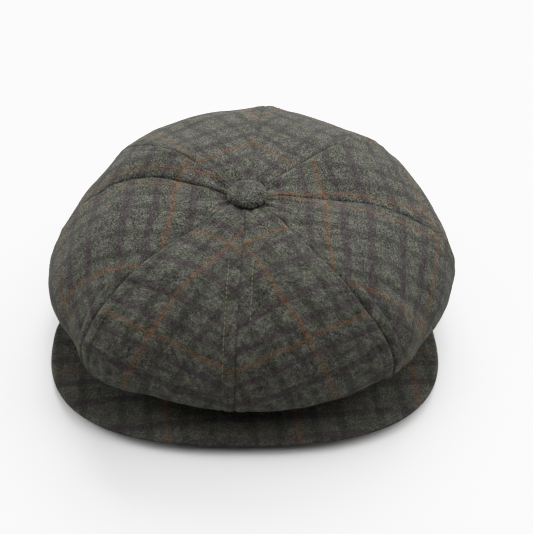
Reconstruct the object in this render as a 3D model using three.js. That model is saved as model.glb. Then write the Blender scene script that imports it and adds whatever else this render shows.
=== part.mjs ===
// Eight-panel newsboy cap: a full crown of eight sewn gores over a fabric band, a covered button
// at the apex, a lining, a sweatband and a stiff visor that swings about the line through its ends.
// Millimetres, +Z up, visor towards -Y. The origin is the middle of the underside.

import * as THREE from 'three';

// ---- driving dimensions ----

const APEX_HEIGHT = 95.6;            // outside of the cloth under the button
const CLOTH = 1.8;                  // wool cloth with its fused interlining
const SEAM_GAP = 0.3;               // clearance between pieces that touch
const APEX_HOLE = 3;                // where the gore points stop short of the button's stem
const CROWN_BULGE = 2;              // how far the middle of a gore swells above its seams
const DIMPLE_RADIUS = 20;           // the gores lie flat under the button and puff up outside this
const RIM_FLATNESS = 0.025;         // how far the middle of a gore's rim is pulled in from an arc
const UNDER_CURVE = 1.95;           // exponent of the curve from the rim back in to the band

// One row for each seam, counter-clockwise from above. angle is where it crosses the rim, reach is
// its distance out from the apex there, height is the rim's height, bow turns its middle, puff lifts
// its middle, and fullness is the exponent of its upper curve.
const SEAMS = [
  { name: 'front', angle: -94, reach: 120, height: 34, bow: -0.5, puff: 1, fullness: 2.3 },
  { name: 'front_right', angle: -47.5, reach: 128, height: 38, bow: -3, puff: 4, fullness: 2.2 },
  { name: 'right', angle: -4, reach: 139, height: 34, bow: 7, puff: -1, fullness: 2.25 },
  { name: 'back_right', angle: 44.5, reach: 144, height: 39, bow: -2, puff: 4.5, fullness: 2.35 },
  { name: 'back', angle: 82.5, reach: 151, height: 40.5, bow: 1, puff: -0.5, fullness: 2.4 },
  { name: 'back_left', angle: 136, reach: 127, height: 38, bow: 3.5, puff: 9.5, fullness: 2.4 },
  { name: 'left', angle: 175.5, reach: 131, height: 28, bow: -15, puff: 8, fullness: 1.9 },
  { name: 'front_left', angle: 222.5, reach: 131, height: 44, bow: -3, puff: -1, fullness: 2.4 },
];

const BAND_CENTRE_Y = 18;           // the head opening sits behind the middle of the crown
const BAND_HALF_WIDTH = 97;         // outside of the band, across
const BAND_HALF_DEPTH = 94;         // outside of the band, front to back
const BAND_HEIGHT = 22;
const STIFFENER = { thickness: 1, bottom: 2, top: 20 };
const SWEATBAND = { thickness: 1.2, bottom: 1, top: 31 };

const LINING = { thickness: 0.8, slack: 4.4, lift: 3 };
const LABEL = { width: 56, depth: 34, corner: 3, thickness: 0.6, drop: 2.6 };

const VISOR = {
  halfWidth: 125.5,
  widestY: -38,
  front: 87,                        // from the widest line forward to the edge
  back: 60,                         // how fast the outline turns in behind the widest line
  exponent: 2.55,
  rootGap: 1.6,                     // running clearance to the band
  rootHeight: 7,                    // middle of the thickness at the band
  edgeHeight: 3,                    // middle of the thickness at the ends of the free edge
  arch: 6,                          // how much higher the free edge lies at its middle
  outlineSweep: 113,                // degrees from the front to each end, on the outline
  rootSweep: 81,                    // the same, on the band
  thickness: 4.6,
  board: 1.6,
  boardInset: 10,                   // the board stops short of the turned cloth edge
  halfLength: 160,                  // from the middle of the front to one end, along the outline
};

const BUTTON = { radius: 12.7, height: 6.5, cloth: 1.0, mould: 0.5, lip: 0.8, plate: 9.2, stem: 1.5 };
const WASHER = { radius: 6, thickness: 0.7 };

const UPPER_ROWS = 12;
const UNDER_ROWS = 6;

const TWO_PI = Math.PI * 2;
const radians = THREE.MathUtils.degToRad;
const mix = THREE.MathUtils.lerp;

// ---- closed bodies ----

// Joins two grids of points, outer(u, v) and inner(u, v), into one closed sheet.
// With wrap the u direction closes on itself, as a band does.
function closedSheet(outer, inner, columns, rows, wrap = false) {
  const points = [];
  const faces = [];
  const across = wrap ? columns : columns + 1;
  for (const side of [outer, inner]) {
    for (let row = 0; row <= rows; row++) {
      for (let column = 0; column < across; column++) {
        points.push(side(column / columns, row / rows));
      }
    }
  }
  const layer = across * (rows + 1);
  const at = (side, column, row) => side * layer + row * across + (column % across);
  const quad = (a, b, c, d) => faces.push(a, b, c, a, c, d);
  for (let row = 0; row < rows; row++) {
    for (let column = 0; column < columns; column++) {
      quad(at(0, column, row), at(0, column + 1, row), at(0, column + 1, row + 1), at(0, column, row + 1));
      quad(at(1, column, row + 1), at(1, column + 1, row + 1), at(1, column + 1, row), at(1, column, row));
    }
    if (!wrap) {
      quad(at(1, 0, row), at(0, 0, row), at(0, 0, row + 1), at(1, 0, row + 1));
      quad(at(0, columns, row), at(1, columns, row), at(1, columns, row + 1), at(0, columns, row + 1));
    }
  }
  for (let column = 0; column < columns; column++) {
    quad(at(0, column, 0), at(1, column, 0), at(1, column + 1, 0), at(0, column + 1, 0));
    quad(at(1, column, rows), at(0, column, rows), at(0, column + 1, rows), at(1, column + 1, rows));
  }
  return facingOut(points, faces);
}

function signedVolume(points, faces) {
  let volume = 0;
  for (let i = 0; i < faces.length; i += 3) {
    const [a, b, c] = [points[faces[i]], points[faces[i + 1]], points[faces[i + 2]]];
    volume += a.dot(b.clone().cross(c)) / 6;
  }
  return volume;
}

function facingOut(points, faces) {
  const index = signedVolume(points, faces) < 0 ? faces.slice().reverse() : faces;
  const places = points.flatMap((p) => [p.x, p.y, p.z]);
  const geometry = new THREE.BufferGeometry();
  geometry.setAttribute('position', new THREE.Float32BufferAttribute(places, 3));
  geometry.setIndex(index);
  geometry.computeVertexNormals();
  return geometry;
}

// Turns a closed profile of [radius, height] points, listed from the top outwards and down.
function turned(profile, segments) {
  const closed = [...profile, profile[0]].reverse().map(([r, z]) => new THREE.Vector2(r, z));
  const geometry = new THREE.LatheGeometry(closed, segments);
  geometry.rotateX(Math.PI / 2);
  return geometry;
}

// ---- the crown's shape ----

// A shell is one skin of the crown: how far it lies inside the outer face at the rim, at the apex
// and at the band, and how high it starts above the band's top edge.
const OUTER_FACE = { rim: 0, apex: 0, band: 0, rise: 0 };
const INNER_FACE = { rim: CLOTH, apex: CLOTH, band: CLOTH, rise: CLOTH };
const LINING_OUTER = {
  rim: CLOTH + LINING.slack,
  apex: CLOTH + LINING.slack - 1.5,
  band: CLOTH - 0.6,
  rise: LINING.lift,
};
const LINING_INNER = {
  rim: LINING_OUTER.rim + LINING.thickness,
  apex: LINING_OUTER.apex + LINING.thickness,
  band: LINING_OUTER.band + LINING.thickness,
  rise: LINING_OUTER.rise + LINING.thickness,
};

// The values of a seam, or of a meridian a share of the way from one seam to the next.
function meridian(index, share) {
  const from = SEAMS[index];
  const to = SEAMS[(index + 1) % SEAMS.length];
  const turn = to.angle < from.angle ? 360 : 0;
  const middle = 4 * share * (1 - share);
  return {
    angle: mix(from.angle, to.angle + turn, share),
    reach: mix(from.reach, to.reach, share) * (1 - RIM_FLATNESS * middle),
    height: mix(from.height, to.height, share),
    bow: mix(from.bow, to.bow, share),
    puff: mix(from.puff, to.puff, share) + CROWN_BULGE * middle,
    fullness: mix(from.fullness, to.fullness, share),
  };
}

// A point on the upper cloth at a given distance out from the apex.
function upperPoint(line, shell, radius) {
  const reach = line.reach - shell.rim;
  const out = Math.min(radius / reach, 1);
  const past = THREE.MathUtils.clamp((radius - DIMPLE_RADIUS) / (reach - DIMPLE_RADIUS), 0, 1);
  const drape = 4 * past * (1 - past);
  const fall = Math.pow(Math.max(0, 1 - Math.pow(out, line.fullness)), 1 / line.fullness);
  const apex = APEX_HEIGHT - shell.apex;
  const turn = radians(line.angle + line.bow * 4 * out * (1 - out));
  const z = line.height + (apex - line.height) * fall + line.puff * drape;
  return new THREE.Vector3(radius * Math.cos(turn), radius * Math.sin(turn), z);
}

// A point on the cloth that runs from the rim back in to the band, from share 0 to share 1.
function underPoint(line, shell, share) {
  const turn = share * Math.PI / 2;
  const out = Math.pow(Math.cos(turn), 2 / UNDER_CURVE);
  const down = Math.pow(Math.sin(turn), 2 / UNDER_CURVE);
  const angle = radians(line.angle);
  const reach = line.reach - shell.rim;
  const bandX = (BAND_HALF_WIDTH - shell.band) * Math.cos(angle);
  const bandY = BAND_CENTRE_Y + (BAND_HALF_DEPTH - shell.band) * Math.sin(angle);
  const bottom = BAND_HEIGHT + shell.rise;
  return new THREE.Vector3(
    mix(bandX, reach * Math.cos(angle), out),
    mix(bandY, reach * Math.sin(angle), out),
    mix(line.height, bottom, down),
  );
}

function gore(index, outerShell, innerShell, columns, upperRows, underRows) {
  const rows = upperRows + underRows;
  const skin = (shell) => (u, v) => {
    const row = Math.round(v * rows);
    const middle = meridian(index, u);
    const reach = middle.reach - shell.rim;
    const out = Math.sin(mix(0, Math.PI / 2, row / upperRows));
    const radius = Math.min(reach, mix(APEX_HOLE, reach, Math.min(out, 1)));
    const around = row < upperRows ? radius : reach;
    const span = radians((SEAMS[(index + 1) % SEAMS.length].angle - SEAMS[index].angle + 360) % 360);
    const trim = SEAM_GAP / 2 / (around * span);
    const line = meridian(index, mix(trim, 1 - trim, u));
    if (row < upperRows) return upperPoint(line, shell, radius);
    return underPoint(line, shell, (row - upperRows) / underRows);
  };
  return closedSheet(skin(outerShell), skin(innerShell), columns, rows);
}

// ---- bands ----

function ellipseBand(inset, thickness, bottom, top, segments) {
  const wall = (offset) => (u, v) => {
    const angle = u * TWO_PI;
    return new THREE.Vector3(
      (BAND_HALF_WIDTH - offset) * Math.cos(angle),
      BAND_CENTRE_Y + (BAND_HALF_DEPTH - offset) * Math.sin(angle),
      mix(bottom, top, v),
    );
  };
  return closedSheet(wall(inset), wall(inset + thickness), segments, 1, true);
}

// ---- visor ----

function visorRoot(u) {
  const angle = radians(-90 + u * VISOR.rootSweep);
  return new THREE.Vector2(
    (BAND_HALF_WIDTH + VISOR.rootGap) * Math.cos(angle),
    BAND_CENTRE_Y + (BAND_HALF_DEPTH + VISOR.rootGap) * Math.sin(angle),
  );
}

function visorOutline(u) {
  const angle = radians(-90 + u * VISOR.outlineSweep);
  const along = Math.cos(angle) / VISOR.halfWidth;
  const forward = Math.sin(angle) / (Math.sin(angle) < 0 ? VISOR.front : VISOR.back);
  const power = VISOR.exponent;
  const distance = Math.pow(Math.abs(along) ** power + Math.abs(forward) ** power, -1 / power);
  return new THREE.Vector2(distance * Math.cos(angle), VISOR.widestY + distance * Math.sin(angle));
}

// One face of a visor layer. offset(share) is its height above the middle of the visor's thickness,
// where share runs from 0 at the band to 1 at the free edge.
function visorFace(inset, offset) {
  return (uShare, v) => {
    const u = (2 * uShare - 1) * (1 - inset / VISOR.halfLength);
    const root = visorRoot(u);
    const edge = visorOutline(u);
    const width = root.distanceTo(edge);
    const share = v * Math.max(0.05, 1 - inset / width);
    const flat = root.lerp(edge, share);
    const edgeMiddle = VISOR.edgeHeight + VISOR.arch * Math.cos(u * Math.PI / 2) ** 1.2;
    const middle = mix(VISOR.rootHeight, edgeMiddle, Math.sin(share * Math.PI / 2));
    return new THREE.Vector3(flat.x, flat.y, middle + offset(v));
  };
}

function visorCloth(side) {
  const roundOver = 0.8;
  const half = VISOR.thickness / 2;
  const lining = VISOR.board / 2 + SEAM_GAP;
  const meet = SEAM_GAP / 2;
  const face = (share) => {
    const past = Math.max(0, (share - roundOver) / (1 - roundOver));
    return side * mix(meet + 0.5, half, Math.sqrt(Math.max(0, 1 - past * past)));
  };
  const back = (share) => side * (share > roundOver + 0.1 ? meet : lining);
  return closedSheet(visorFace(0, face), visorFace(0, back), 32, 8);
}

function visorBoard() {
  const half = VISOR.board / 2;
  const top = visorFace(VISOR.boardInset, () => half);
  const bottom = visorFace(VISOR.boardInset, () => -half);
  return closedSheet(top, bottom, 28, 4);
}

// ---- button ----

const BUTTON_BASE = APEX_HEIGHT + SEAM_GAP;

function dome(radius, height, floor, steps) {
  const arc = [];
  for (let i = 0; i <= steps; i++) {
    const turn = (i / steps) * Math.PI / 2;
    arc.push([radius * Math.sin(turn), floor + height * Math.cos(turn)]);
  }
  arc[0][0] = 0;
  return arc;
}

function buttonCover() {
  const outer = dome(BUTTON.radius, BUTTON.height - BUTTON.lip, BUTTON_BASE + BUTTON.lip, 8);
  const hollow = dome(
    BUTTON.radius - BUTTON.cloth,
    BUTTON.height - BUTTON.lip - BUTTON.cloth,
    BUTTON_BASE + BUTTON.lip,
    8,
  ).reverse();
  const lip = [
    [BUTTON.radius - 0.5, BUTTON_BASE],
    [BUTTON.plate + SEAM_GAP, BUTTON_BASE],
    [BUTTON.plate + SEAM_GAP, BUTTON_BASE + BUTTON.lip],
  ];
  return turned([...outer, ...lip, ...hollow], 24);
}

function buttonMould() {
  const radius = BUTTON.radius - BUTTON.cloth - SEAM_GAP;
  const height = BUTTON.height - BUTTON.lip - BUTTON.cloth - 2 * SEAM_GAP;
  const floor = BUTTON_BASE + BUTTON.lip + SEAM_GAP;
  const outer = dome(radius, height, floor, 6);
  const hollow = dome(radius - BUTTON.mould, height - BUTTON.mould, floor, 6).reverse();
  return turned([...outer, ...hollow], 24);
}

const WASHER_TOP = APEX_HEIGHT - CLOTH - SEAM_GAP;

function buttonRivet() {
  const clinch = WASHER_TOP - WASHER.thickness - SEAM_GAP;
  return turned([
    [0, BUTTON_BASE + 0.7],
    [BUTTON.plate, BUTTON_BASE + 0.7],
    [BUTTON.plate, BUTTON_BASE],
    [BUTTON.stem, BUTTON_BASE],
    [BUTTON.stem, clinch],
    [BUTTON.stem * 1.8, clinch],
    [BUTTON.stem * 1.8, clinch - 0.5],
    [0, clinch - 0.5],
  ], 24);
}

function buttonWasher() {
  const hole = BUTTON.stem + SEAM_GAP;
  return turned([
    [hole, WASHER_TOP],
    [WASHER.radius, WASHER_TOP],
    [WASHER.radius, WASHER_TOP - WASHER.thickness],
    [hole, WASHER_TOP - WASHER.thickness],
  ], 24);
}

// ---- label ----

function labelPatch() {
  const x = LABEL.width / 2;
  const y = LABEL.depth / 2;
  const r = LABEL.corner;
  const outline = new THREE.Shape();
  outline.moveTo(-x + r, -y);
  outline.lineTo(x - r, -y);
  outline.quadraticCurveTo(x, -y, x, -y + r);
  outline.lineTo(x, y - r);
  outline.quadraticCurveTo(x, y, x - r, y);
  outline.lineTo(-x + r, y);
  outline.quadraticCurveTo(-x, y, -x, y - r);
  outline.lineTo(-x, -y + r);
  outline.quadraticCurveTo(-x, -y, -x + r, -y);
  const patch = new THREE.ExtrudeGeometry(outline, {
    depth: LABEL.thickness,
    bevelEnabled: false,
    curveSegments: 4,
  });
  patch.translate(0, 0, APEX_HEIGHT - LINING_INNER.apex - LABEL.drop);
  return patch;
}

// ---- assembly ----

const cap = new THREE.Group();

function addPiece(name, geometry, color, roughness, metalness = 0) {
  const mesh = new THREE.Mesh(geometry, new THREE.MeshStandardMaterial({ color, roughness, metalness }));
  mesh.name = name;
  cap.add(mesh);
}

const GORE_NAMES = [
  'front_right', 'right_front', 'right_back', 'back_right',
  'back_left', 'left_back', 'left_front', 'front_left',
];

GORE_NAMES.forEach((name, index) => {
  const panel = gore(index, OUTER_FACE, INNER_FACE, 6, UPPER_ROWS, UNDER_ROWS);
  addPiece(`crown_gore_${name}`, panel, 0x4a4c45, 0.95);
  const lining = gore(index, LINING_OUTER, LINING_INNER, 3, UPPER_ROWS, UNDER_ROWS);
  addPiece(`lining_gore_${name}`, lining, 0x2f2b2c, 0.55);
});

addPiece('headband', ellipseBand(0, CLOTH, 0, BAND_HEIGHT - SEAM_GAP, 64), 0x45473f, 0.95);

const stiffenerInset = CLOTH + SEAM_GAP;
const stiffener = ellipseBand(stiffenerInset, STIFFENER.thickness, STIFFENER.bottom, STIFFENER.top, 48);
addPiece('band_stiffener', stiffener, 0x3c3b3a, 0.8);

const sweatInset = stiffenerInset + STIFFENER.thickness + SEAM_GAP;
const sweatband = ellipseBand(sweatInset, SWEATBAND.thickness, SWEATBAND.bottom, SWEATBAND.top, 64);
addPiece('sweatband', sweatband, 0x23211f, 0.7);

addPiece('visor_top_cloth', visorCloth(1), 0x3b3d37, 0.95);
addPiece('visor_board', visorBoard(), 0xc9c4b6, 0.6);
addPiece('visor_under_cloth', visorCloth(-1), 0x3b3d37, 0.95);

addPiece('button_cover', buttonCover(), 0x4a4c45, 0.95);
addPiece('button_mould', buttonMould(), 0xa9a9a4, 0.35, 0.9);
addPiece('button_rivet', buttonRivet(), 0xa9a9a4, 0.35, 0.9);
addPiece('button_washer', buttonWasher(), 0xa9a9a4, 0.35, 0.9);
addPiece('inner_label', labelPatch(), 0x8c8577, 0.5);

const box = new THREE.Box3().setFromObject(cap);
const middle = box.getCenter(new THREE.Vector3());
cap.position.set(-middle.x, -middle.y, -box.min.z);

export default cap;
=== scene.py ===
"""A newsboy cap in checked wool flannel: eight sewn gores over a band, a covered button and a stiff
visor. Shapes are worked out in millimetres from the cap's apex and placed in the CAD frame."""

import math

import bpy
import numpy as np
from mathutils import Matrix, Vector


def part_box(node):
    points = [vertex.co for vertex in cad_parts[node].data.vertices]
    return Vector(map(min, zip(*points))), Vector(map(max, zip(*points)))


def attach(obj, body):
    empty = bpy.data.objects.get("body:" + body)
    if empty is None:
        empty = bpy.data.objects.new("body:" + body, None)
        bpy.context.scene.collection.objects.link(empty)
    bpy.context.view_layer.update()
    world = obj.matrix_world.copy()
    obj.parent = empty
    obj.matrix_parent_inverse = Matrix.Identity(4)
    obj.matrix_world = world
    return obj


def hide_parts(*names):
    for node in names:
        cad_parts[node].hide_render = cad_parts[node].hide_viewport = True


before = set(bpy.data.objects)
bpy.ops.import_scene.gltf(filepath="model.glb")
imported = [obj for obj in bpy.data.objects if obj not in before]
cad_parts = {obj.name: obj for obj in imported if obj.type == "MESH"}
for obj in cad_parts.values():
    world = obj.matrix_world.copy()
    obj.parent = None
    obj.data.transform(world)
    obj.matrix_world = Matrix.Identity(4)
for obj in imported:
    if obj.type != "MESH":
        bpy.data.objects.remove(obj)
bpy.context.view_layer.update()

MM = 0.001

# ---- places from the frame ----

button_low, button_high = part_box("button_cover")
band_low, band_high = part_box("headband")
APEX = (button_low + button_high) / 2
BAND_CENTRE_Y = ((band_low.y + band_high.y) / 2 - APEX.y) / MM
BAND_HALF_WIDTH = (band_high.x - band_low.x) / 2 / MM
BAND_HALF_DEPTH = (band_high.y - band_low.y) / 2 / MM
BAND_TOP = band_high.z / MM

# ---- driving dimensions of the crown, as in the CAD ----

APEX_HEIGHT = 95.6
CLOTH = 1.4                         # the cloth as it shows, without its fused interlining
APEX_HOLE = 3
TYPICAL_REACH = 130                 # of a seam, for which the hole at the apex is APEX_HOLE in radius
CROWN_BULGE = 2
DIMPLE_RADIUS = 20
RIM_FLATNESS = 0.025
UNDER_CURVE = 1.95
BAND_HEIGHT = 22

# How far a shell lies inside the crown's outer face at the rim, the apex and the band, and how much
# higher than the cloth it ends.
OUTER_SHELL = {"rim": 0, "apex": 0, "band": 0, "rise": 0}
LINING_SHELL = {"rim": 6.2, "apex": 4.7, "band": 1.2, "rise": 3}

# name, angle, reach, height, bow, puff, fullness: one row for each seam, counter-clockwise
SEAMS = [
    ("front", -94, 120, 34, -0.5, 1, 2.3),
    ("front_right", -47.5, 128, 38, -3, 4, 2.2),
    ("right", -4, 139, 34, 7, -1, 2.25),
    ("back_right", 44.5, 144, 39, -2, 4.5, 2.35),
    ("back", 82.5, 151, 40.5, 1, -0.5, 2.4),
    ("back_left", 136, 127, 38, 3.5, 9.5, 2.4),
    ("left", 175.5, 131, 28, -15, 8, 1.9),
    ("front_left", 222.5, 131, 44, -3, -1, 2.4),
]

# One row for each gore, from the front seam counter-clockwise: its name, the turn of its check, how
# much further its cross lines lean, where its first long and cross rust lines lie on the flat panel,
# and how the cloth is eased across and down by shaping.
GORES = [
    ("front_right", 13.8, -1.5, -25.5, 35.5, 1, 0.97),
    ("right_front", 20.1, 5.8, 0.7, 47.7, 0.9, 1.03),
    ("right_back", -15.4, 5.2, -0.5, 48.2, 1, 1.03),
    ("back_right", -9, -8, -23.1, 43.3, 1, 1),
    ("back_left", 11.2, -5, 13.4, 43.4, 1, 1),
    ("left_back", 14.1, 0.4, -10.7, 44.8, 1, 1),
    ("left_front", -20.7, 5.2, -3.6, 44.6, 0.93, 1.16),
    ("front_left", -15.1, 5.3, 20.7, 41.3, 1, 0.96),
]

# ---- the check, and the colours of its fibres at full strength ----

CHECK_REPEAT = 73                   # from one rust line to the next, both ways
DARK_STRIPES = (10.2, 25.6)         # from a rust line to the middle of each dark stripe
DARK_STRIPE_FADE = (1.4, 3.2)       # from its middle to where it starts to fade and where it ends
RUST_LINE_FADE = (0.3, 2.4)
DARK_FIBRE = (0.0155, 0.0172, 0.0135)
MIDDLE_FIBRE = (0.0847, 0.0902, 0.0752)
PALE_FIBRE = (0.212, 0.223, 0.186)
MOSS_DARK = (0.030, 0.032, 0.024)
AUBERGINE = (0.044, 0.025, 0.038)
RED_RUST = (0.29, 0.085, 0.027)
BROWN_RUST = (0.21, 0.110, 0.042)

# ---- stitching ----

STITCH_ROW = 7.4                    # from the seam to its topstitching
STITCH_PITCH = 3.0
PLAIN_RUNS = {"front_left": (1, 33, 105), "front_right": (0, 33, 72)}   # side, and from where to where
THREAD_RADIUS = 0.24
THREAD_SUNK = 0.22                  # how far a stitch's ends lie below the cloth's face
PLAIN_LIFT = 0.42                   # how far the middle of a plain stitch rises, and of a sunk one
SUNK_LIFT = 0.22
NARROWEST_SEWN = 0.55               # of the full seam spacing: nearer the apex a gore has no stitches

# How much more boldly than the others a seam stands up in the skirt, by its number, or less below zero.
BOLD_SEAMS = {0: 0.8, 1: 1.2, 6: -0.8, 7: 1.8}

# Where the crown's skirt stands out from its fair shape, or lies in: the angle, how many degrees
# wide, and how far.
DRAPE = [(-130, 7, 5.5), (-151, 9, -3), (-40, 6, 1.8), (125, 28, -1.3)]

NEAR_SEAM = [0, 0.5, 1.0, 1.5, 2.1, 2.9, 3.9, 5.0, 6.0, 6.8, STITCH_ROW, 8.0, 8.9, 10.2]
NEAR_REACH = 16                     # a gore narrower than twice this has its seam columns closed up
MIDDLE_COLUMNS = 16
UPPER_ROWS = 96
UNDER_ROWS = 34
SHARP_ANGLE = 55                    # between faces, in degrees, from which their edge shows

# ---- bands, lining and label ----

BAND_COLUMNS = 220
LINING_CLOTH = 0.5
LINING_UPPER_ROWS = 40
LINING_UNDER_ROWS = 14
LINING_COLUMNS = 20
LINING_FOLLOWS = 1.15               # how far it goes in for each millimetre that the crown goes in
LABEL_CORNER = 6
LABEL_RINGS = 16
LABEL_SIDES = 96
LABEL_STITCH_RING = 13              # the ring, from the middle, that its stitches follow

# ---- visor ----

# The free edge is a superellipse about a centre at widest_y. The sweeps are how far, in degrees, the
# edge and the root run to either side of the front. The edge's middle lies higher by arch.
VISOR = {
    "half_width": 125.5,
    "widest_y": -38,
    "front": 87,
    "back": 60,
    "exponent": 2.55,
    "root_gap": 1.6,
    "root_height": 7,
    "edge_height": 3,
    "arch": 6,
    "outline_sweep": 113,
    "root_sweep": 81,
    "thickness": 4.6,
    "half_length": 160,
    "edge_round": 3.2,
}
VISOR_COLUMNS = 160
VISOR_ROWS = 36
VISOR_CHECK = (-4, 0, 22, 14, 1.07, 1)     # its turn, lean, first and second rust lines, and easing

# ---- button ----

BUTTON = {"radius": 12.7, "height": 5.7, "roundness": 0.92, "cloth": 1.0, "lip": 0.8, "plate": 9.5}
BUTTON_SIDES = 96
BUTTON_RINGS = 22

# ---- floor, camera and lights, in metres and degrees, but the lens in millimetres ----

FLOOR_SHADE = 0.6
FLOOR_RADIUS = 2.4
FLOOR_HEIGHT = -0.0002
FLOOR_SIDES = 96
CAMERA = {"elevation": 42.94, "azimuth": -1.79, "roll": 1.2, "distance": 0.620, "lens": 63.9}
CAMERA_TARGET_HEIGHT = 0.050
CAMERA_ASIDE = 0.0134               # how far to the right of its target the camera is turned
CAMERA_DOWN = 0.0110                # and how far below it

# name, place, what it shines at, width and power in watts
LIGHTS = [
    ("overhead", (0.0, 0.0, 1.5), (0, 0, 0), 1.8, 16.8),
    ("back", (0.0, 2.7, 1.98), (0, 0, 0.03), 2.5, 200),
    ("left", (-2.7, 0.0, 1.98), (0, 0, 0.03), 2.5, 91),
    ("right", (2.7, 0.0, 1.98), (0, 0, 0.03), 2.5, 85),
    ("back_right", (1.98, 1.98, 1.62), (0, 0, 0.03), 2.5, 71),
]
WORLD_LIGHT = 0.08
BACKDROP_LIGHT = 1.05


# ---- small tools ----


def smooth(low, high, value):
    """0 below low, 1 above high, and a smooth rise between."""
    t = np.clip((value - low) / (high - low), 0, 1)
    return t * t * (3 - 2 * t)


def bump(value, middle, width):
    return np.exp(-(((value - middle) / width) ** 2))


def unit(vectors):
    return vectors / np.maximum(np.linalg.norm(vectors, axis=-1, keepdims=True), 1e-9)


def uneven(points, wavelength, seed, waves=20):
    """A smooth random height of roughly -1 to 1 at each point, with swells a wavelength apart."""
    random = np.random.default_rng(seed)
    lengths = wavelength * random.uniform(0.75, 1.5, waves)
    across = unit(random.normal(size=(waves, 3))) / lengths[:, None]
    starts = random.uniform(0, 2 * math.pi, waves)
    turns = points @ across.T * 2 * math.pi + starts
    return np.sin(turns).sum(-1) / math.sqrt(waves)


def surface_normals(points):
    """Unit normals of a grid of points, pointing away from the middle of the cap."""
    across = np.gradient(points, axis=1)
    down = np.gradient(points, axis=0)
    normals = unit(np.cross(down, across))
    outward = points - np.array([0, BAND_CENTRE_Y, BAND_HEIGHT])
    return normals * np.sign((normals * outward).sum(-1).mean())


def in_frame(points):
    return points * MM + np.array([APEX.x, APEX.y, 0])


def add_mesh(name, points, faces, material, cloth_map=None):
    """A mesh from points in millimetres. cloth_map holds each point's place on the bolt."""
    mesh = bpy.data.meshes.new(name)
    mesh.from_pydata(in_frame(np.asarray(points, float)).tolist(), [], faces)
    mesh.validate()
    if cloth_map is not None:
        corners = np.zeros(len(mesh.loops), np.int32)
        mesh.loops.foreach_get("vertex_index", corners)
        layer = mesh.uv_layers.new(name="cloth")
        layer.data.foreach_set("uv", (cloth_map[corners] * MM).astype(np.float32).ravel())
    mesh.shade_smooth()
    mesh.set_sharp_from_angle(angle=math.radians(SHARP_ANGLE))
    mesh.materials.append(material)
    made = bpy.data.objects.new(name, mesh)
    bpy.context.scene.collection.objects.link(made)
    return made


def closed_sheet(name, outer, inner, cloth, material, wrap=False):
    """One closed sheet between two grids of points. cloth holds each point's place on the bolt. One
    that wraps goes all the way round its own middle."""
    rows, columns = outer.shape[:2]
    points = np.concatenate([outer.reshape(-1, 3), inner.reshape(-1, 3)])
    cloth_map = np.concatenate([cloth.reshape(-1, 2)] * 2)
    spans = columns if wrap else columns - 1

    def at(layer, row, column):
        return layer * rows * columns + row * columns + column % columns

    faces = []
    end = rows - 1
    last = columns - 1
    for row in range(end):
        for column in range(spans):
            faces.append((at(0, row, column), at(0, row + 1, column), at(0, row + 1, column + 1),
                          at(0, row, column + 1)))
            faces.append((at(1, row, column), at(1, row, column + 1), at(1, row + 1, column + 1),
                          at(1, row + 1, column)))
        if not wrap:
            faces.append((at(0, row, 0), at(1, row, 0), at(1, row + 1, 0), at(0, row + 1, 0)))
            faces.append((at(0, row, last), at(0, row + 1, last), at(1, row + 1, last),
                          at(1, row, last)))
    for column in range(spans):
        if not wrap:
            faces.append((at(0, 0, column), at(0, 0, column + 1), at(1, 0, column + 1),
                          at(1, 0, column)))
        faces.append((at(0, end, column), at(1, end, column), at(1, end, column + 1),
                      at(0, end, column + 1)))
    inside_out = signed_volume(points, faces) < 0
    if wrap:
        faces.append(tuple(at(0, 0, column) for column in range(columns)))
        faces.append(tuple(at(1, 0, column) for column in reversed(range(columns))))
    if inside_out:
        faces = [face[::-1] for face in faces]
    return add_mesh(name, points, faces, material, cloth_map)


def signed_volume(points, faces):
    """The volume inside some faces of four corners, negative when they face inwards."""
    a, b, c, d = (points[[face[k] for face in faces]] for k in range(4))
    return ((a * np.cross(b, c)).sum() + (a * np.cross(c, d)).sum()) / 6


def distances_along(path):
    return np.concatenate([[0], np.cumsum(np.linalg.norm(np.diff(path, axis=0), axis=1))])


def at_distances(values, steps, places):
    """The values that a path has at some places along it, where steps are its own points' places."""
    return np.stack([np.interp(places, steps, values[:, axis]) for axis in range(3)], -1)


def stitch_points(path, normals, start, end, pitch, radius, lift):
    """Points and faces of one row of thread stitches on a path that lies on the cloth."""
    sides, rings = 5, 5
    steps = distances_along(path)
    points, faces = [], []
    count = int((min(end, steps[-1] - pitch) - start) / pitch)
    for stitch in range(max(count, 0)):
        first = start + stitch * pitch
        places = first + pitch * np.linspace(0.1, 0.86, rings)
        line = at_distances(path, steps, places)
        up = unit(at_distances(normals, steps, places))
        forward = unit(np.gradient(line, axis=0))
        side = unit(np.cross(forward, up))
        arch = np.sin(np.linspace(0, math.pi, rings))
        base = len(points)
        for ring in range(rings):
            thick = radius * (0.45 + 0.55 * arch[ring])
            centre = line[ring] + up[ring] * (lift * arch[ring] - THREAD_SUNK)
            for turn in np.arange(sides) * 2 * math.pi / sides:
                away = math.cos(turn) * side[ring] + math.sin(turn) * up[ring]
                points.append(centre + thick * away)
        for ring in range(rings - 1):
            for k in range(sides):
                a, b = base + ring * sides + k, base + ring * sides + (k + 1) % sides
                faces.append((a, b, b + sides, a + sides))
        faces.append(tuple(base + k for k in reversed(range(sides))))
        faces.append(tuple(base + (rings - 1) * sides + k for k in range(sides)))
    return points, faces


# ---- the crown's shape ----


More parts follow.
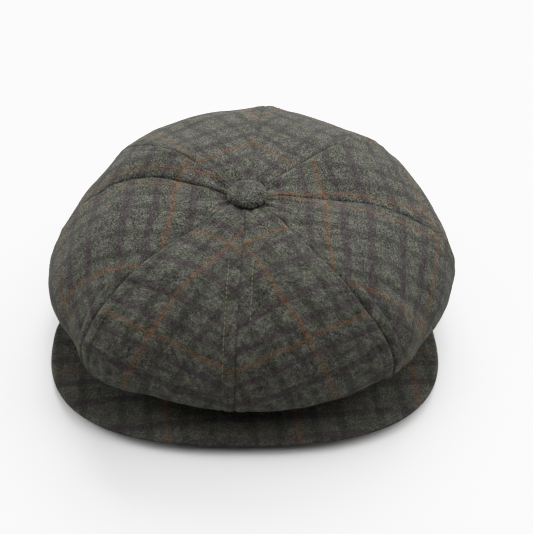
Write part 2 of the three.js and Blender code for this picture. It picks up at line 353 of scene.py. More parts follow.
def meridian(index, share):
    """The values of gore index at a share of the way from its first seam to its second."""
    start, end = SEAMS[index], SEAMS[(index + 1) % 8]
    turn = 360 if end[1] < start[1] else 0
    middle = 4 * share * (1 - share)

    def mix(k, more=0):
        return start[k] * (1 - share) + (end[k] + more) * share

    return {
        "angle": np.radians(mix(1, turn)),
        "reach": mix(2) * (1 - RIM_FLATNESS * middle),
        "height": mix(3),
        "bow": np.radians(mix(4)),
        "puff": mix(5) + CROWN_BULGE * middle,
        "fullness": mix(6),
    }


def upper_point(line, turn, shell):
    """On the upper cloth, from the apex at turn 0 to the rim at a quarter turn."""
    reach = line["reach"] - shell["rim"]
    radius = reach * np.sin(turn)
    out = np.sin(turn)
    past = np.clip((radius - DIMPLE_RADIUS) / (reach - DIMPLE_RADIUS), 0, 1)
    apex = APEX_HEIGHT - shell["apex"]
    fall = np.maximum(0, 1 - out ** line["fullness"]) ** (1 / line["fullness"])
    around = line["angle"] + line["bow"] * 4 * out * (1 - out)
    height = line["height"] + (apex - line["height"]) * fall + line["puff"] * 4 * past * (1 - past)
    return np.stack([radius * np.cos(around), radius * np.sin(around), height], -1)


def under_point(line, share, shell):
    """On the cloth that runs from the rim, at share 0, back in to the band, at share 1."""
    out = np.cos(share * math.pi / 2) ** (2 / UNDER_CURVE)
    down = np.sin(share * math.pi / 2) ** (2 / UNDER_CURVE)
    cos, sin = np.cos(line["angle"]), np.sin(line["angle"])
    reach = line["reach"] - shell["rim"]
    x = (BAND_HALF_WIDTH - shell["band"]) * cos * (1 - out) + reach * cos * out
    y = (BAND_CENTRE_Y + (BAND_HALF_DEPTH - shell["band"]) * sin) * (1 - out) + reach * sin * out
    z = line["height"] * (1 - down) + (BAND_HEIGHT + shell["rise"]) * down
    return np.stack([x, y, z], -1)


def gore_points(index, shares, shell, upper_rows, under_rows):
    """A grid of points on a gore. shares has one row for each row of points."""
    line = meridian(index, shares)
    upper = {key: value[: upper_rows + 1] for key, value in line.items()}
    under = {key: value[upper_rows + 1:] for key, value in line.items()}
    turns = np.linspace(math.asin(APEX_HOLE / TYPICAL_REACH), math.pi / 2, upper_rows + 1)[:, None]
    steps = np.linspace(0, 1, under_rows + 1)[1:, None]
    return np.concatenate([upper_point(upper, turns, shell), under_point(under, steps, shell)])


def row_widths(index, shell, upper_rows, under_rows):
    even = np.linspace(0, 1, 9)[None, :] * np.ones((upper_rows + under_rows + 1, 1))
    points = gore_points(index, even, shell, upper_rows, under_rows)
    return np.linalg.norm(np.diff(points, axis=1), axis=2).sum(1)


def seam_wise_shares(widths):
    """Shares across a gore for each row, close together beside the seams."""
    closing = np.minimum(1, widths / 2 / NEAR_REACH)[:, None]
    near = np.array(NEAR_SEAM)[None, :] * closing
    steps = np.linspace(0, 1, MIDDLE_COLUMNS + 1)[None, 1:]
    middle = near[:, -1:] + (widths[:, None] / 2 - near[:, -1:]) * steps
    half = np.concatenate([near, middle], axis=1) / widths[:, None]
    return np.concatenate([half, 1 - half[:, -2::-1]], axis=1)


def flat_places(points):
    """Each point's place on its flat panel: across from the middle, and down from the apex. A row
    lies on a circle round the apex, so on the flat panel its ends lie back from its middle."""
    steps = np.linalg.norm(np.diff(points, axis=1), axis=2)
    across = np.concatenate([np.zeros((len(points), 1)), np.cumsum(steps, axis=1)], axis=1)
    centre = points.shape[1] // 2
    across = across - across[:, centre: centre + 1]
    line = points[:, centre]
    length = np.linalg.norm(line[0] - np.array([0, 0, APEX_HEIGHT])) + distances_along(line)
    radius = np.hypot(points[..., 0], points[..., 1])
    angle = np.unwrap(np.arctan2(points[..., 1], points[..., 0]), axis=1)
    turn = angle - angle[:, centre: centre + 1]
    outward = np.gradient(radius[:, centre], length)[:, None]
    return across, length[:, None] - radius * (1 - np.cos(turn)) * outward


def turned_check(across, down, turn, lean, first, second, ease_across=1, ease_down=1):
    """The place on the bolt of a panel whose check is turned and has rust lines at first and second."""
    long, cross = math.radians(turn), math.radians(turn + lean)
    return np.stack([
        (across * math.cos(long) - down * math.sin(long) - first) / ease_across,
        (across * math.sin(cross) + down * math.cos(cross) - second) / ease_down,
    ], -1)


# ---- how the cloth lies ----


def seam_relief(distance, closing, press):
    """Height of the cloth beside a seam: the seam's valley, its pressed-open allowance and the
    groove that the topstitching pulls down, both as deep as press says."""
    valley = -(0.3 + 0.25 * press) * bump(distance, 0, 0.6 * closing)
    row = STITCH_ROW * closing
    allowance = 0.3 * smooth(0.3 * closing, 2.2 * closing, distance)
    allowance = allowance * (1 - smooth(0.75 * row, 1.1 * row, distance))
    groove = -0.16 * bump(distance, row, 0.9 * closing)
    roll = 0.14 * bump(distance, 1.35 * row, 2.0 * closing)
    return valley + press * (allowance + groove + roll)


def pressing(index, shares, out):
    """How boldly the cloth stands up beside a gore's seams: more down the sides of the two front
    gores, where the crown folds over to the visor."""
    lower = smooth(0.35, 0.6, out) * (1 - smooth(0.86, 0.97, out))
    first = 0.8 + BOLD_SEAMS.get(index, 0) * lower
    second = 0.8 + BOLD_SEAMS.get((index + 1) % 8, 0) * lower
    return np.where(shares < 0.5, first, second)


def drape(around, out):
    """How far the skirt hangs out or in, which fades towards the top and the band."""
    skirt = smooth(0.42, 0.66, out) * (1 - smooth(0.86, 0.98, out))
    total = 0
    for angle, width, height in DRAPE:
        away = (np.degrees(around) - angle + 180) % 360 - 180
        total = total + height * bump(away, 0, width) * skirt
    return total


def crown_relief(points, distance, closing, out, press):
    """How far the cloth stands off its fair surface."""
    swell = 0.9 * uneven(points, 60, seed=3) + 0.35 * uneven(points, 26, seed=5)
    nap = 0.07 * uneven(points, 6, seed=7)
    gather = 0.3 * uneven(points, 9, seed=11) * bump(distance, 2.5, 4.5)
    radius = np.hypot(points[..., 0], points[..., 1])
    around = np.arctan2(points[..., 1], points[..., 0])
    fold = np.sin(11 * around + 1.3) + 0.7 * np.sin(17 * around + 4) + 0.5 * np.sin(5 * around)
    pucker = 0.5 * fold * smooth(9, 15, radius) * (1 - smooth(20, 48, radius))
    dimple = 1.1 * bump(radius, 26, 9) - 1.2 * (1 - smooth(10, 17, radius))
    edge = smooth(0.79, 0.93, out)
    fair = dimple + pucker + drape(around, out) - 0.6 * edge
    seam = seam_relief(distance, closing, press * (1 - edge))
    return fair + seam + (swell + nap + gather) * (1 - edge)


def build_crown_grids():
    """The outer face of each gore, with what its sewing and materials need."""
    grids = []
    for index in range(8):
        widths = row_widths(index, OUTER_SHELL, UPPER_ROWS, UNDER_ROWS)
        shares = seam_wise_shares(widths)
        points = gore_points(index, shares, OUTER_SHELL, UPPER_ROWS, UNDER_ROWS)
        across, down = flat_places(points)
        grids.append({
            "points": points,
            "normals": surface_normals(points),
            "distance": np.minimum(shares, 1 - shares) * widths[:, None],
            "closing": np.minimum(1, widths / 2 / NEAR_REACH)[:, None],
            "across": across,
            "down": down,
            "out": down / down.max(),
            "press": pressing(index, shares, down / down.max()),
        })
    share_seam_normals(grids)
    for grid in grids:
        keys = ("points", "distance", "closing", "out", "press")
        relief = crown_relief(*(grid[key] for key in keys))
        grid["outer"] = grid["points"] + grid["normals"] * relief[..., None]
        grid["inner"] = grid["outer"] - grid["normals"] * CLOTH
    return grids


def share_seam_normals(grids):
    """Two gores leave their seam in one direction, so that no gap opens between them."""
    edges = [(grid["normals"][:, 0].copy(), grid["normals"][:, -1].copy()) for grid in grids]
    for index, grid in enumerate(grids):
        first = unit(edges[index][0] + edges[index - 1][1])[:, None]
        second = unit(edges[index][1] + edges[(index + 1) % 8][0])[:, None]
        own = grid["normals"]
        half = own.shape[1] // 2
        near = np.exp(-((grid["distance"] / 2.5) ** 2))[..., None]
        rest = own.shape[1] - half
        seam = np.concatenate([np.repeat(first, half, 1), np.repeat(second, rest, 1)], 1)
        grid["normals"] = unit(own * (1 - near) + seam * near)


# ---- materials ----


def node(tree, kind, inputs=None, **settings):
    made = tree.nodes.new(kind)
    for name, value in settings.items():
        setattr(made, name, value)
    for key, value in (inputs or {}).items():
        if isinstance(value, bpy.types.NodeSocket):
            tree.links.new(value, made.inputs[key])
        else:
            made.inputs[key].default_value = value
    return made


def calculate(tree, operation, *values):
    made = node(tree, "ShaderNodeMath", dict(enumerate(values)), operation=operation)
    return made.outputs[0]


def calculate_vector(tree, operation, values):
    return node(tree, "ShaderNodeVectorMath", values, operation=operation).outputs[0]


def rise(tree, value, low, high, start=0.0, end=1.0):
    """start where value is below low, end where it is above high, smooth between."""
    made = node(tree, "ShaderNodeMapRange", {
        "Value": value, "From Min": low, "From Max": high, "To Min": start, "To Max": end,
    }, interpolation_type="SMOOTHSTEP")
    return made.outputs["Result"]


def noise(tree, place, scale, detail=2.0, roughness=0.5):
    return node(tree, "ShaderNodeTexNoise", {
        "Vector": place, "Scale": scale, "Detail": detail, "Roughness": roughness,
    })


def blend_colours(tree, share, first, second, kind="MIX"):
    colours = {0: share, 6: first, 7: second}
    return node(tree, "ShaderNodeMix", colours, data_type="RGBA", blend_type=kind).outputs[2]


def new_material(name, roughness, specular=0.3, sheen=0.0, sheen_roughness=0.5, metallic=0.0):
    material = bpy.data.materials.new(name)
    material.use_nodes = True
    tree = material.node_tree
    shader = tree.nodes["Principled BSDF"]
    shader.inputs["Roughness"].default_value = roughness
    shader.inputs["Specular IOR Level"].default_value = specular
    shader.inputs["Sheen Weight"].default_value = sheen
    shader.inputs["Sheen Roughness"].default_value = sheen_roughness
    shader.inputs["Metallic"].default_value = metallic
    return material, tree, shader


def bolt_place(tree):
    """The cloth's own place, in millimetres on the bolt."""
    place = node(tree, "ShaderNodeUVMap", uv_map="cloth").outputs["UV"]
    return calculate_vector(tree, "SCALE", {0: place, "Scale": 1 / MM})


def shifted(tree, place, scale, amount, detail):
    """place moved about by noise, as threads wander and the nap blurs them."""
    wander = noise(tree, place, scale, detail).outputs["Color"]
    centred = calculate_vector(tree, "SUBTRACT", {0: wander, 1: (0.5, 0.5, 0.5)})
    move = calculate_vector(tree, "SCALE", {0: centred, "Scale": amount})
    return calculate_vector(tree, "ADD", {0: place, 1: move})


def check_lines(tree, place):
    """How much of the dark stripes and of the rust line shows in one direction."""
    fold = calculate(tree, "PINGPONG", place, CHECK_REPEAT / 2)
    dark = None
    for middle in DARK_STRIPES:
        away = calculate(tree, "ABSOLUTE", calculate(tree, "SUBTRACT", fold, middle))
        band = rise(tree, away, *DARK_STRIPE_FADE, 1.0, 0.0)
        dark = band if dark is None else calculate(tree, "MAXIMUM", dark, band)
    rust = rise(tree, fold, *RUST_LINE_FADE, 1.0, 0.0)
    return dark, rust


def scaled(colour, light):
    """A colour made paler or darker, with the full opacity that a shader wants."""
    return tuple(light * part for part in colour) + (1,)


def flannel(name, light, mottle):
    """The checked cloth: light is how pale it is, and mottle how uneven. Its grain is painted stronger
    from the middle back than at the front of the cap: painted light, for the back light that grazes
    the nap there, against the flatter light at the front."""
    material, tree, shader = new_material(name, 0.95, specular=0.06, sheen=0.06, sheen_roughness=0.4)
    shader.inputs["Sheen Tint"].default_value = (0.86, 0.88, 0.84, 1)
    bolt = bolt_place(tree)
    threads = shifted(tree, shifted(tree, bolt, 0.035, 5.0, 1.0), 0.8, 1.9, 3.0)
    sides = node(tree, "ShaderNodeSeparateXYZ", {0: threads})
    warp_dark, warp_rust = check_lines(tree, sides.outputs["X"])
    weft_dark, weft_rust = check_lines(tree, sides.outputs["Y"])

    fibre = noise(tree, bolt, 1.05, 3.0, 0.62).outputs["Fac"]
    clump = noise(tree, bolt, 0.34, 2.0, 0.6).outputs["Fac"]
    on_object = node(tree, "ShaderNodeTexCoord").outputs["Object"]
    on_cap = node(tree, "ShaderNodeSeparateXYZ", {0: on_object})
    # painted light: the grain's contrast rises toward the back, where the back light grazes the nap,
    # and stays low in the flatter light at the front
    grazing_light_grain = rise(tree, on_cap.outputs["Y"], -0.10, 0.0, 0.9, 2.2)
    grain = calculate(tree, "MULTIPLY", calculate(tree, "SUBTRACT", fibre, 0.5), grazing_light_grain)
    tone = calculate(tree, "ADD", grain, 0.5)
    patch = noise(tree, bolt, 0.12, 2.0, 0.55).outputs["Fac"]
    for mottling, depth in ((clump, 0.5 * mottle), (patch, 0.45 * mottle)):
        tone = calculate(tree, "SUBTRACT", tone, depth / 2)
        tone = calculate(tree, "MULTIPLY_ADD", mottling, depth, tone)
    ramp = node(tree, "ShaderNodeValToRGB", {0: tone})
    stops = ramp.color_ramp.elements
    stops[0].position = 0.28
    stops[0].color = scaled(DARK_FIBRE, light)
    stops[1].position = 0.76
    stops[1].color = scaled(PALE_FIBRE, light)
    middle = stops.new(0.5)
    middle.color = scaled(MIDDLE_FIBRE, light)
    colour = ramp.outputs["Color"]

    hue = noise(tree, bolt, 1.1, 2.0, 0.6).outputs["Color"]
    hues = node(tree, "ShaderNodeSeparateColor", {0: hue})
    heather = rise(tree, hues.outputs["Red"], 0.50, 0.62, 0.0, 0.95)
    colour = blend_colours(tree, heather, colour, (0.92, 0.66, 0.86, 1), "MULTIPLY")
    moss = rise(tree, hues.outputs["Green"], 0.52, 0.64, 0.0, 0.8)
    colour = blend_colours(tree, moss, colour, (1.0, 1.04, 0.62, 1), "MULTIPLY")

    worn = rise(tree, noise(tree, bolt, 0.4, 4.0, 0.75).outputs["Fac"], 0.36, 0.62, 0.42, 1.2)
    for stripe, depth, dark in ((warp_dark, 0.52, MOSS_DARK), (weft_dark, 0.56, AUBERGINE)):
        share = calculate(tree, "MULTIPLY", calculate(tree, "MULTIPLY", stripe, depth), worn)
        colour = blend_colours(tree, share, colour, scaled(dark, light))

    broken = rise(tree, noise(tree, bolt, 0.7, 4.0, 0.85).outputs["Fac"], 0.45, 0.58, 0.0, 1.0)
    rust = calculate(tree, "MULTIPLY", calculate(tree, "ADD", warp_rust, weft_rust), 0.8)
    specks = rise(tree, fibre, 0.42, 0.57, 0.45, 1.15)
    rust = calculate(tree, "MULTIPLY", calculate(tree, "MULTIPLY", rust, broken), specks)
    rust = calculate(tree, "MINIMUM", rust, 0.9)
    redness = noise(tree, bolt, 0.28, 1.0).outputs["Fac"]
    dye = blend_colours(tree, redness, scaled(RED_RUST, light), scaled(BROWN_RUST, light))
    colour = blend_colours(tree, rust, colour, dye)
    tree.links.new(colour, shader.inputs["Base Color"])

    pile = calculate(tree, "MULTIPLY_ADD", clump, 0.6, fibre)
    raised = node(tree, "ShaderNodeBump", {"Strength": 0.9, "Distance": 0.0009, "Height": pile})
    tree.links.new(raised.outputs["Normal"], shader.inputs["Normal"])
    return material


def simple_cloth(name, dark, light, grain, roughness):
    """A plain woven stuff with fine mottling; grain is its thread spacing in millimetres."""
    material, tree, shader = new_material(name, roughness)
    bolt = bolt_place(tree)
    waves = []
    for axis in ("X", "Y"):
        wave = node(tree, "ShaderNodeTexWave", {
            "Vector": bolt, "Scale": 0.314 / grain, "Distortion": 0.6, "Detail": 1.0,
        }, bands_direction=axis)
        waves.append(wave.outputs["Fac"])
    weave = calculate(tree, "MULTIPLY", waves[0], waves[1])
    mottle = noise(tree, bolt, 0.4, 3.0, 0.6).outputs["Fac"]
    share = calculate(tree, "MULTIPLY_ADD", mottle, 0.6, calculate(tree, "MULTIPLY", weave, 0.4))
    tree.links.new(blend_colours(tree, share, dark, light), shader.inputs["Base Color"])
    raised = node(tree, "ShaderNodeBump", {"Strength": 0.3, "Distance": 0.0002, "Height": weave})
    tree.links.new(raised.outputs["Normal"], shader.inputs["Normal"])
    return material


def by_place(name, dark, light, scale, roughness, metallic=0.0, strength=0.15):
    """A mottled stuff whose grain follows its place on the object, for parts with no cloth map."""
    material, tree, shader = new_material(name, roughness, metallic=metallic)
    place = node(tree, "ShaderNodeTexCoord").outputs["Object"]
    grain = noise(tree, place, scale, 4.0, 0.6).outputs["Fac"]
    tree.links.new(blend_colours(tree, grain, dark, light), shader.inputs["Base Color"])
    raised = node(tree, "ShaderNodeBump", {"Strength": strength, "Distance": 0.0002, "Height": grain})
    tree.links.new(raised.outputs["Normal"], shader.inputs["Normal"])
    return material


crown_flannel = flannel("checked_flannel", 0.5, 1)
visor_flannel = flannel("checked_flannel_visor", 0.46, 0.6)
satin = simple_cloth("lining_satin", (0.018, 0.014, 0.016, 1), (0.045, 0.036, 0.040, 1), 0.25, 0.38)
grosgrain = simple_cloth("sweatband_grosgrain", (0.008, 0.008, 0.008, 1), (0.03, 0.028, 0.027, 1),
                         0.8, 0.6)
label_weave = simple_cloth("label_weave", (0.16, 0.14, 0.11, 1), (0.32, 0.29, 0.23, 1), 0.35, 0.5)
thread = by_place("topstitch_thread", (0.06, 0.057, 0.022, 1), (0.16, 0.15, 0.06, 1), 1500, 0.7)
sunk_thread = by_place("sunk_thread", (0.022, 0.022, 0.013, 1), (0.055, 0.053, 0.03, 1), 1500, 0.8)
plain_thread = by_place("dark_thread", (0.02, 0.02, 0.018, 1), (0.06, 0.055, 0.05, 1), 1500, 0.6)
steel = by_place("button_steel", (0.45, 0.45, 0.44, 1), (0.62, 0.62, 0.60, 1), 900, 0.32, 1.0, 0.05)
board = by_place("visor_board_stuff", (0.42, 0.38, 0.30, 1), (0.60, 0.56, 0.47, 1), 700, 0.6)
buckram = by_place("buckram_stuff", (0.02, 0.02, 0.019, 1), (0.07, 0.068, 0.064, 1), 1200, 0.85,
                   strength=0.4)


# ---- crown ----


def sew(name, rows, material):
    """One piece that holds several rows of stitches."""
    points, faces = [], []
    for row in rows:
        more, row_faces = stitch_points(**row)
        faces += [tuple(k + len(points) for k in face) for face in row_faces]
        points += more
    return add_mesh(name, points, faces, material)


def gore_stitches(name, grid, side, start, end, material):
    """Topstitching beside one seam of a gore, from start to end along its row."""
    column = NEAR_SEAM.index(STITCH_ROW)
    column = column if side == 0 else -1 - column
    narrow = int(np.argmax(grid["closing"][:, 0] > NARROWEST_SEWN))
    stitches = sew(name, [{
        "path": grid["outer"][narrow:, column],
        "normals": grid["normals"][narrow:, column],
        "start": start,
        "end": end,
        "pitch": STITCH_PITCH,
        "radius": THREAD_RADIUS,
        "lift": PLAIN_LIFT if material is thread else SUNK_LIFT,
    }], material)
    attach(stitches, "cap_body")
    return stitches


def gore_topstitching(name, grid):
    """The rows beside both seams. The nap hides the thread but for a plain run by the front seam."""
    plain_side, plain_start, plain_end = PLAIN_RUNS.get(name, (0, 0, 0))
    rows = []
    for side in (0, 1):
        runs = [(1, math.inf, sunk_thread)]
        if plain_end and side == plain_side:
            runs = [(1, plain_start, sunk_thread), (plain_start, plain_end, thread),
                    (plain_end, math.inf, sunk_thread)]
        for run, (start, end, material) in enumerate(runs):
            row_name = f"topstitch_{name}_{side}_{run}"
            rows.append(gore_stitches(row_name, grid, side, start, end, material))
    return rows


crown_grids = build_crown_grids()
for (gore_name, *check), grid in zip(GORES, crown_grids):
    cloth = turned_check(grid["across"], grid["down"], *check)
    gore = closed_sheet(f"gore_{gore_name}", grid["outer"], grid["inner"], cloth, crown_flannel)
    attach(gore, "cap_body")
    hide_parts(f"crown_gore_{gore_name}")
    stitches = gore_topstitching(gore_name, grid)


# ---- bands ----


def ring_place(angle, inset, height):
    """A point on the band's oval, angle in radians from the right-hand side."""
    return np.stack([
        (BAND_HALF_WIDTH - inset) * np.cos(angle),
        BAND_CENTRE_Y + (BAND_HALF_DEPTH - inset) * np.sin(angle),
        height,
    ], -1)


def band_strip(inset, thickness, bottom, top, rows, fold):
    """The two faces of a strip round the head opening, from its joint at the back all the way round,
    with its edges rounded over by fold."""
    angle, height = np.meshgrid(
        math.radians(90) + np.linspace(0, 2 * math.pi, BAND_COLUMNS + 1),
        np.linspace(top, bottom, rows + 1),
    )
    corner = np.clip(1 - np.minimum(top - height, height - bottom) / fold, 0, 1)
    tuck = thickness * 0.5 * (1 - np.sqrt(1 - corner**2))
    outer = ring_place(angle, inset + tuck, height)
    inner = ring_place(angle, inset + thickness - tuck, height)
    outward = unit(ring_place(angle, 0, height) - ring_place(angle, 1, height))
    cloth = np.stack([distances_along(outer[0]) + 0 * height, height], -1)
    return outer, inner, outward, cloth


def joint_valley(cloth, depth, width):
    """The sunk line where a strip's two ends are sewn together."""
    length = cloth[..., 0].max()
    return -depth * (bump(cloth[..., 0], 0, width) + bump(cloth[..., 0], length, width))


def band_row(outer, outward, row, lift, radius, pitch):
    return {
        "path": outer[row],
        "normals": outward[row],
        "start": 1,
        "end": math.inf,
        "pitch": pitch,
        "radius": radius,
        "lift": lift,
    }


def make_headband():
    outer, inner, outward, cloth = band_strip(0, CLOTH, 0, BAND_TOP, 16, 1.2)
    relief = 0.28 * uneven(outer, 42, seed=21) + 0.07 * uneven(outer, 7, seed=22)
    middle = smooth(0, 3, outer[..., 2]) * (1 - smooth(BAND_TOP - 3, BAND_TOP, outer[..., 2]))
    relief = relief * middle + joint_valley(cloth, 0.9, 0.9) * middle
    outer = outer + outward * relief[..., None]
    band = closed_sheet("band", outer, inner, cloth + np.array([20, 30]), crown_flannel)
    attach(band, "cap_body")
    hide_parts("headband")
    row = band_row(outer, outward, 13, 0.36, THREAD_RADIUS, STITCH_PITCH)
    stitches = sew("topstitch_band", [row], thread)
    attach(stitches, "cap_body")


def make_sweatband():
    low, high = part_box("sweatband")
    inset = BAND_HALF_WIDTH - (high.x - low.x) / 2 / MM
    bottom, top = low.z / MM, high.z / MM
    outer, inner, outward, cloth = band_strip(inset, 1.2, bottom, top, 20, 0.8)
    relief = 0.22 * uneven(inner, 50, seed=31) - joint_valley(cloth, 0.5, 1.2)
    inner = inner + outward * relief[..., None]
    strip = closed_sheet("sweatband_ribbon", outer, inner, cloth, grosgrain)
    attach(strip, "cap_body")
    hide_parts("sweatband")
    rows = [band_row(inner, -outward, row, 0.34, 0.2, 2.6) for row in (2, 18)]
    stitches = sew("sweatband_stitches", rows, plain_thread)
    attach(stitches, "cap_body")


make_headband()
make_sweatband()


# ---- lining and label ----


def make_lining(index, name):
    """A lining gore hangs a little loose, and lies further in where the crown is pushed in."""
    rows, under_rows, columns = LINING_UPPER_ROWS, LINING_UNDER_ROWS, LINING_COLUMNS
    shares = np.linspace(0, 1, columns + 1)[None, :] * np.ones((rows + under_rows + 1, 1))
    points = gore_points(index, shares, LINING_SHELL, rows, under_rows)
    across, down = flat_places(points)
    widths = row_widths(index, LINING_SHELL, rows, under_rows)
    distance = np.minimum(shares, 1 - shares) * widths[:, None]
    normals = surface_normals(points)
    out = down / down.max()
    edge = smooth(0.8, 1, out)
    pushed_in = np.minimum(0, drape(np.arctan2(points[..., 1], points[..., 0]), out))
    relief = (0.9 * uneven(points, 38, seed=41) + 0.4 * uneven(points, 17, seed=42)) * (1 - edge)
    relief = (relief + 0.6) * smooth(0, 5, distance) + 0.05 + LINING_FOLLOWS * pushed_in
    outer = points + normals * relief[..., None]
    inner = outer - normals * LINING_CLOTH
    cloth = np.stack([across, down], -1)
    lining = closed_sheet(f"lining_{name}", outer, inner, cloth, satin)
    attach(lining, "cap_body")
    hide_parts(f"lining_gore_{name}")


def rounded_rectangle(width, depth, corner, across, along):
    """Points from the middle, at 0, to a rounded rectangle's edge, at 1, all the way round."""
    around = along * 2 * math.pi
    cos, sin = np.cos(around), np.sin(around)
    power = 2 + 60 / corner
    distance = (np.abs(cos / (width / 2)) ** power + np.abs(sin / (depth / 2)) ** power) ** (-1 / power)
    return np.stack([distance * cos, distance * sin], -1) * across[..., None]


def make_label():
    low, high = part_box("inner_label")
    width, depth = (high.x - low.x) / MM, (high.y - low.y) / MM
    across = np.linspace(0.02, 1, LABEL_RINGS)[:, None] * np.ones((1, LABEL_SIDES))
    along = np.linspace(0, 1, LABEL_SIDES + 1)[None, :-1] * np.ones((LABEL_RINGS, 1))
    flat = rounded_rectangle(width, depth, LABEL_CORNER, across, along)
    top, bottom = high.z / MM, low.z / MM
    sag = 0.12 * uneven(np.dstack([flat, 0 * flat[..., :1]]), 25, seed=51)[..., None]
    upper = np.dstack([flat, top + sag])
    lower = np.dstack([flat, bottom + sag])
    label = closed_sheet("label_patch", upper, lower, flat + 40, label_weave, wrap=True)
    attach(label, "cap_body")
    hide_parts("inner_label")
    ring = lower[LABEL_STITCH_RING]
    path = np.concatenate([ring, ring[:1]])
    stitches = sew("label_stitches", [{
        "path": path,
        "normals": np.zeros_like(path) - np.array([0, 0, 1]),
        "start": 0.5,
        "end": math.inf,
        "pitch": 2.2,
        "radius": 0.16,
        "lift": 0.3,
    }], plain_thread)
    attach(stitches, "cap_body")


for index, gore in enumerate(GORES):
    make_lining(index, gore[0])
make_label()


# ---- visor ----


def visor_places():
    """The visor's middle surface, with each point's distance in from the free edge and the ends."""
    u = np.sin(np.linspace(-1, 1, VISOR_COLUMNS + 1) * math.pi / 2)[None, :]
    share = np.sin(np.linspace(0, 1, VISOR_ROWS + 1) * math.pi / 2)[:, None]
    turn = np.radians(-90 + u * VISOR["root_sweep"])
    root = np.stack([
        (BAND_HALF_WIDTH + VISOR["root_gap"]) * np.cos(turn),
        BAND_CENTRE_Y + (BAND_HALF_DEPTH + VISOR["root_gap"]) * np.sin(turn),
    ], -1)
    turn = np.radians(-90 + u * VISOR["outline_sweep"])
    forward = np.sin(turn) / np.where(np.sin(turn) < 0, VISOR["front"], VISOR["back"])
    aside = np.cos(turn) / VISOR["half_width"]
    power = VISOR["exponent"]
    out = (np.abs(aside) ** power + np.abs(forward) ** power) ** (-1 / power)
    edge = np.stack([out * np.cos(turn), VISOR["widest_y"] + out * np.sin(turn)], -1)
    flat = root * (1 - share[..., None]) + edge * share[..., None]
    width = np.linalg.norm(edge - root, axis=-1)
    drop = np.sin(share * math.pi / 2)
    edge_height = VISOR["edge_height"] + VISOR["arch"] * np.cos(u * math.pi / 2) ** 1.2
    height = VISOR["root_height"] * (1 - drop) + edge_height * drop
    from_edge = width * (1 - share)
    from_end = (1 - np.abs(u)) * VISOR["half_length"] + 0 * share
    return np.dstack([flat, height]), from_edge, from_end


def make_visor_cloth(name, node_name, side):
    """One of the visor's two cloths: side is 1 above the board and -1 below it."""
    middle, from_edge, from_end = visor_places()
    near = np.clip(1 - np.minimum(from_edge, from_end) / VISOR["edge_round"], 0, 1)
    round_off = np.sqrt(1 - near**2)
    outer_offset = 0.12 + (VISOR["thickness"] / 2 - 0.12) * round_off
    inner_offset = np.minimum(1.1 * smooth(1, 9, np.minimum(from_edge, from_end)), outer_offset) + 0.02
    inner_offset = np.minimum(inner_offset, outer_offset - 0.06)
    swell = 0.16 * uneven(middle, 45, seed=61) + 0.05 * uneven(middle, 7, seed=62)
    outer = middle + np.dstack([0 * swell, 0 * swell, side * (outer_offset + swell * round_off)])
    inner = middle + np.dstack([0 * swell, 0 * swell, side * inner_offset])
    cloth = turned_check(middle[..., 0], middle[..., 1], *VISOR_CHECK)
    piece = closed_sheet(name, outer, inner, cloth, visor_flannel)
    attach(piece, "visor")
    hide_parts(node_name)


make_visor_cloth("visor_cloth_top", "visor_top_cloth", 1)
make_visor_cloth("visor_cloth_under", "visor_under_cloth", -1)


# ---- button ----


def make_button():
    """The cover: a dome with small gathers at its rim, tucked in under it and round a hollow."""
    base = button_low.z / MM
    brim = base + BUTTON["lip"]
    plate = BUTTON["plate"]
    turn = np.linspace(0.03, math.pi / 2, BUTTON_RINGS)
    around = np.linspace(0, 2 * math.pi, BUTTON_SIDES + 1)[None, :-1]

    def dome(shrink):
        radius = (BUTTON["radius"] - shrink) * np.sin(turn) ** BUTTON["roundness"]
        return radius, brim + (BUTTON["height"] - shrink) * np.cos(turn) ** BUTTON["roundness"]

    radius, height = dome(0)
    tuck_radius = np.append(BUTTON["radius"] - np.array([0.2, 0.9, 2]), plate)
    tuck_height = [brim - 0.45, brim - 0.72, base, base]
    radius = np.append(radius, tuck_radius)[:, None]
    height = np.append(height, tuck_height)[:, None]
    hollow_radius, hollow_height = dome(BUTTON["cloth"])
    hollow_radius = np.append(hollow_radius, [plate + 0.6] * 3 + [plate])[:, None]
    hollow_height = np.append(hollow_height, np.linspace(brim, base + 0.4, 4))[:, None]

    gathers = np.sin(13 * around + 0.6) + 0.6 * np.sin(22 * around + 2)
    gathered = radius + 0.16 * gathers * smooth(8.5, 12.5, radius)
    cos, sin, level = np.cos(around), np.sin(around), 0 * around
    outer = np.dstack([gathered * cos, gathered * sin, height + level])
    inner = np.dstack([hollow_radius * cos, hollow_radius * sin, hollow_height + level])
    lumps = 0.16 * uneven(outer, 9, seed=71) * (1 - smooth(10, 12.6, radius))
    outer = outer + np.dstack([0 * lumps, 0 * lumps, lumps])
    cloth = turned_check(outer[..., 0] + 36, outer[..., 1] + 38, 8, 0, 0, 0)
    cover = closed_sheet("button_cloth", outer, inner, cloth, crown_flannel, wrap=True)
    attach(cover, "cap_body")
    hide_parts("button_cover")


make_button()


# ---- finishes of the CAD parts that stay ----


def refinish(node_name, material):
    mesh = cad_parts[node_name].data
    mesh.materials.clear()
    mesh.materials.append(material)


for metal_part in ("button_mould", "button_rivet", "button_washer"):
    refinish(metal_part, steel)
refinish("visor_board", board)
refinish("band_stiffener", buckram)


# ---- camera, light and floor ----


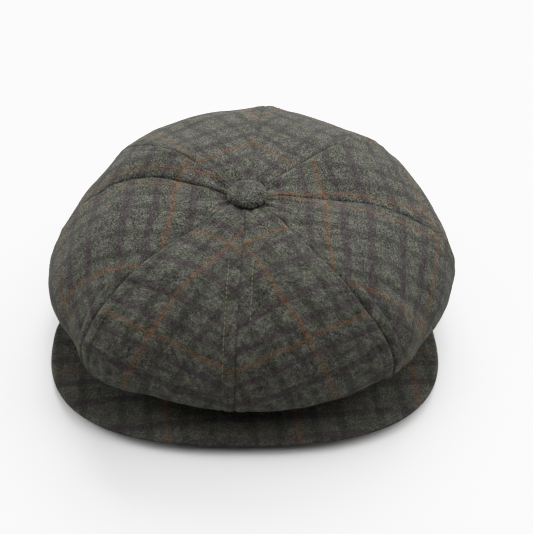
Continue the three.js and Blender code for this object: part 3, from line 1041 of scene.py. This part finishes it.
def place_camera():
    """The camera stands off a target on the cap's middle, turned a little aside and down from it."""
    elevation, azimuth, roll = (math.radians(CAMERA[k]) for k in ("elevation", "azimuth", "roll"))
    back = Vector((
        math.sin(azimuth) * math.cos(elevation),
        -math.cos(azimuth) * math.cos(elevation),
        math.sin(elevation),
    ))
    right = Vector((math.cos(azimuth), math.sin(azimuth), 0))
    up = back.cross(right)
    cos, sin = math.cos(roll), math.sin(roll)
    right, up = cos * right + sin * up, cos * up - sin * right
    target = Vector((APEX.x, APEX.y, CAMERA_TARGET_HEIGHT))
    stand = target + back * CAMERA["distance"]
    aim = target + right * CAMERA_ASIDE - up * CAMERA_DOWN
    back = (stand - aim).normalized()
    right = (right - back * right.dot(back)).normalized()
    up = back.cross(right)
    camera = bpy.data.objects.new("camera", bpy.data.cameras.new("camera"))
    camera.data.lens = CAMERA["lens"]
    camera.matrix_world = Matrix((
        (right.x, up.x, back.x, stand.x),
        (right.y, up.y, back.y, stand.y),
        (right.z, up.z, back.z, stand.z),
        (0, 0, 0, 1),
    ))
    bpy.context.scene.collection.objects.link(camera)
    bpy.context.scene.camera = camera


def area_light(name, place, aim, size, power):
    light = bpy.data.lights.new(name, "AREA")
    light.shape = "DISK"
    light.size = size
    light.energy = power
    made = bpy.data.objects.new(name, light)
    made.location = place
    made.rotation_euler = (Vector(aim) - Vector(place)).to_track_quat("-Z", "Y").to_euler()
    bpy.context.scene.collection.objects.link(made)


def light_world(strength, backdrop):
    """Even light from all round, and how bright the studio's far wall looks."""
    world = bpy.data.worlds.new("studio")
    world.use_nodes = True
    tree = world.node_tree
    background = tree.nodes["Background"]
    seen = node(tree, "ShaderNodeLightPath").outputs["Is Camera Ray"]
    tree.links.new(rise(tree, seen, 0.0, 1.0, strength, backdrop), background.inputs["Strength"])
    background.inputs["Color"].default_value = (1, 1, 1, 1)
    bpy.context.scene.world = world


def lay_floor():
    turns = np.arange(FLOOR_SIDES) * 2 * math.pi / FLOOR_SIDES
    rim = [(FLOOR_RADIUS * math.cos(turn), FLOOR_RADIUS * math.sin(turn), FLOOR_HEIGHT)
           for turn in turns]
    mesh = bpy.data.meshes.new("floor")
    mesh.from_pydata(rim, [], [tuple(range(FLOOR_SIDES))])
    material, _, shader = new_material("pale_floor", 0.8, specular=0.1)
    shader.inputs["Base Color"].default_value = (FLOOR_SHADE, FLOOR_SHADE, FLOOR_SHADE, 1)
    mesh.materials.append(material)
    floor = bpy.data.objects.new("floor", mesh)
    bpy.context.scene.collection.objects.link(floor)


def soften_highlights():
    """Plain tones up to the brightest cloth, and a soft shoulder that keeps the floor off white."""
    view = bpy.context.scene.view_settings
    view.view_transform = "Standard"
    view.use_curve_mapping = True
    curves = view.curve_mapping
    curves.white_level = (2.0, 2.0, 2.0)
    combined = curves.curves[3]
    combined.points[0].location = (0, 0)
    combined.points[1].location = (1, 0.965)
    for bright, shown in ((0.15, 0.30), (0.28, 0.56), (0.40, 0.77), (0.55, 0.90)):
        combined.points.new(bright, shown)
    curves.update()


place_camera()
lay_floor()
light_world(WORLD_LIGHT, BACKDROP_LIGHT)
for light in LIGHTS:
    area_light(*light)
soften_highlights()
